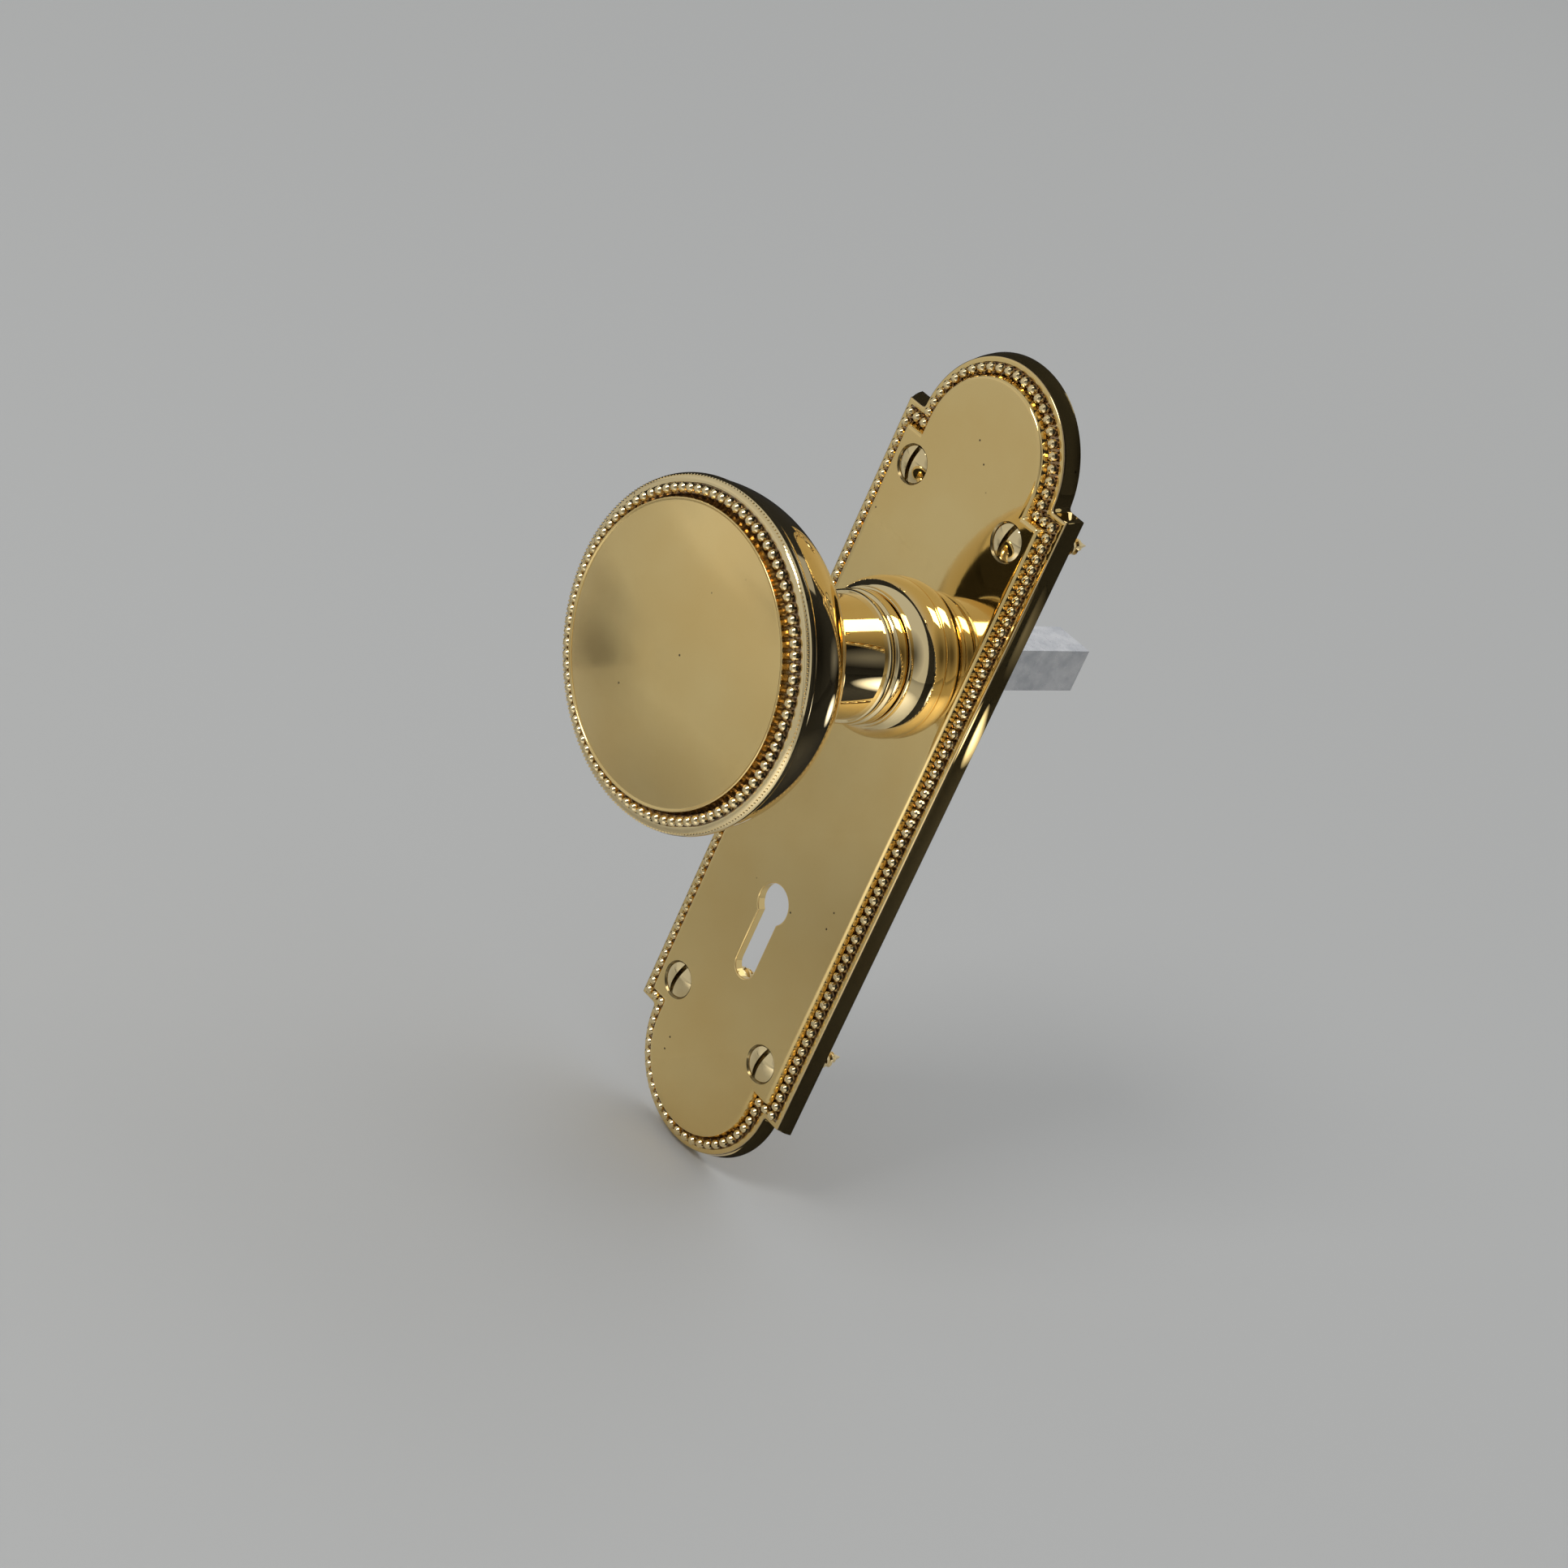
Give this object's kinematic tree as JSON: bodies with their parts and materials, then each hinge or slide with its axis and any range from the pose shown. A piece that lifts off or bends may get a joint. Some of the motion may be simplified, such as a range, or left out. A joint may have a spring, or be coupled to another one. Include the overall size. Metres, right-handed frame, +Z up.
{
  "type": "door knob on backplate",
  "caption": "Polished brass door knob with a beaded edge, on a long beaded backplate with square shoulders, arched ends, a keyhole and slotted screws",
  "frame": {"origin": "on the spindle axis at the face of the door", "axes": "+Z up the plate, -Y out of the door towards the hand, +Y into the door, +X to the right seen from in front"},
  "size_m": [0.0572, 0.0964, 0.1559],
  "materials": {
    "brass": "mirror polished, unlacquered",
    "steel": "zinc plated"
  },
  "bodies": {
    "plate": {"backplate": "brass", "plate_screws": "brass", "collar": "brass", "collar_bush": "brass", "thrust_washer": "steel"},
    "knob": {"knob_face": "brass", "knob_bowl": "brass", "knob_shank": "brass", "backing_washer": "steel", "grub_screw": "steel", "spindle": "steel", "circlip": "steel"}
  },
  "joints": [
    {"name": "knob_turn", "type": "hinge", "parent": "plate", "child": "knob", "pos_m": [0, 0, 0], "axis": [0, 1, 0], "range_deg": [-60, 60]}
  ]
}
